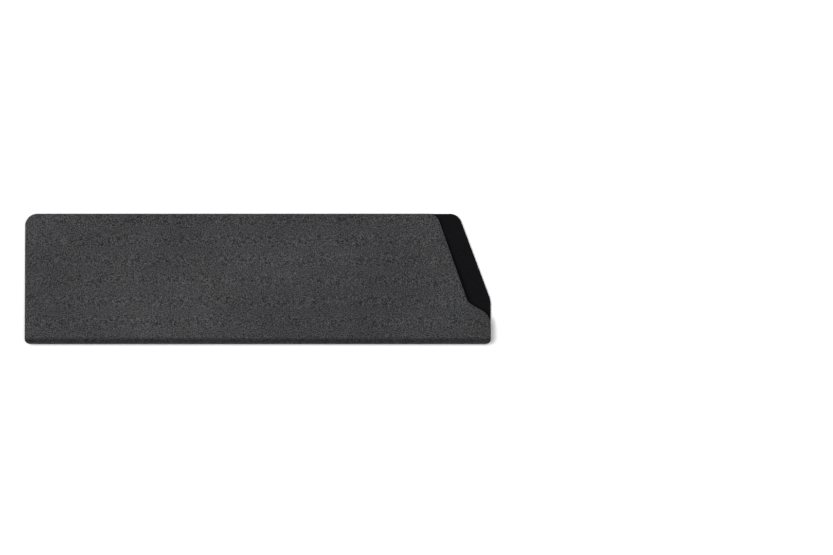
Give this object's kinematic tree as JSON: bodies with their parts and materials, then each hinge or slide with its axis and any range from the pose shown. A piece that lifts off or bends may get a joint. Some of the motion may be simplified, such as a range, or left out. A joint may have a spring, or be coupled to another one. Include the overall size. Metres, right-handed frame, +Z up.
{
  "type": "blade guard",
  "caption": "Folded plastic blade guard lined with felt, open along its long edge and both ends, with walls cut back at the mouth and a fold that springs it shut.",
  "frame": {"origin": "centre of the guard's box on the plane that its back wall lies on", "axes": "+X along the fold towards the mouth, +Y from the fold to the open long edge, +Z up from the back wall to the front wall"},
  "size_m": [0.198, 0.0555, 0.0064],
  "materials": {
    "sheet": "dark grey polypropylene sheet with a fine sand texture",
    "felt": "black needled felt",
    "adhesive": "hot-melt adhesive film, sealed between sheet and felt"
  },
  "bodies": {
    "back": {"back_panel": "sheet", "back_fold": "sheet", "back_felt": "felt", "spine_felt": "felt", "back_glue_film": "adhesive", "spine_glue_film": "adhesive"},
    "front": {"front_panel": "sheet", "front_fold": "sheet", "front_felt": "felt", "front_glue_film": "adhesive"}
  },
  "joints": [
    {"name": "front_wall_flex", "type": "hinge", "parent": "back", "child": "front", "pos_m": [0, -0.0263, 0.0032], "axis": [1, 0, 0], "range_deg": [0, 20], "stiffness_Nm_per_rad": 0.5, "springref_deg": -5.73, "deforming": ["back_fold", "front_fold", "spine_felt", "spine_glue_film"]}
  ]
}
